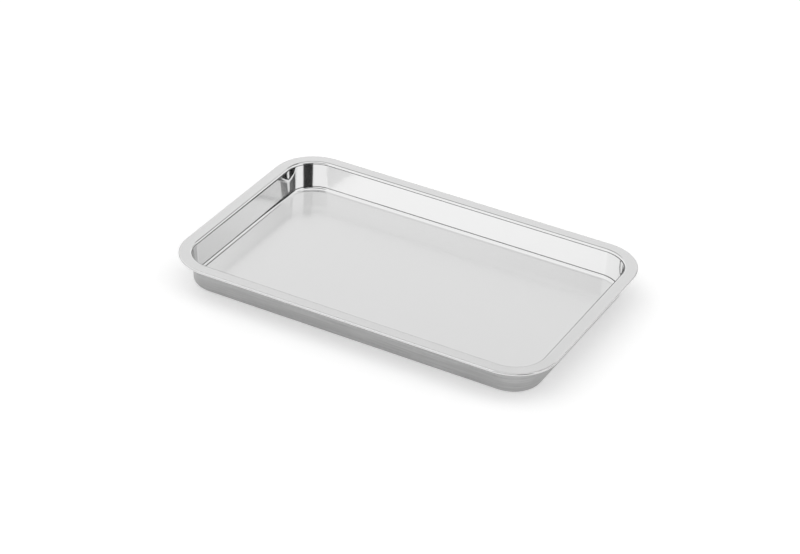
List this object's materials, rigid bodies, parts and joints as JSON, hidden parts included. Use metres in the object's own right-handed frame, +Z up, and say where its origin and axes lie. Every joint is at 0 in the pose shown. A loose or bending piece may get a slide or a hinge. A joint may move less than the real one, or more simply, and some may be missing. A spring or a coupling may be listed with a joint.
{
  "type": "serving tray",
  "caption": "Shallow rectangular stainless steel serving tray with rounded corners, low walls, a flat satin flange and a rolled edge.",
  "frame": {"origin": "centre of the tray's underside, where it stands", "axes": "+X along the length, +Y along the width towards the back, +Z up out of the tray"},
  "size_m": [0.4, 0.26, 0.031],
  "materials": {
    "stainless_steel": "satin floor, flange and outer wall; mirror-polished inner wall, fillets and rolled edge",
    "steel_wire": "plain drawn wire, closed inside the rolled edge"
  },
  "bodies": {
    "root": {"tray_pan": "stainless_steel", "rim_wire": "steel_wire"}
  },
  "joints": []
}
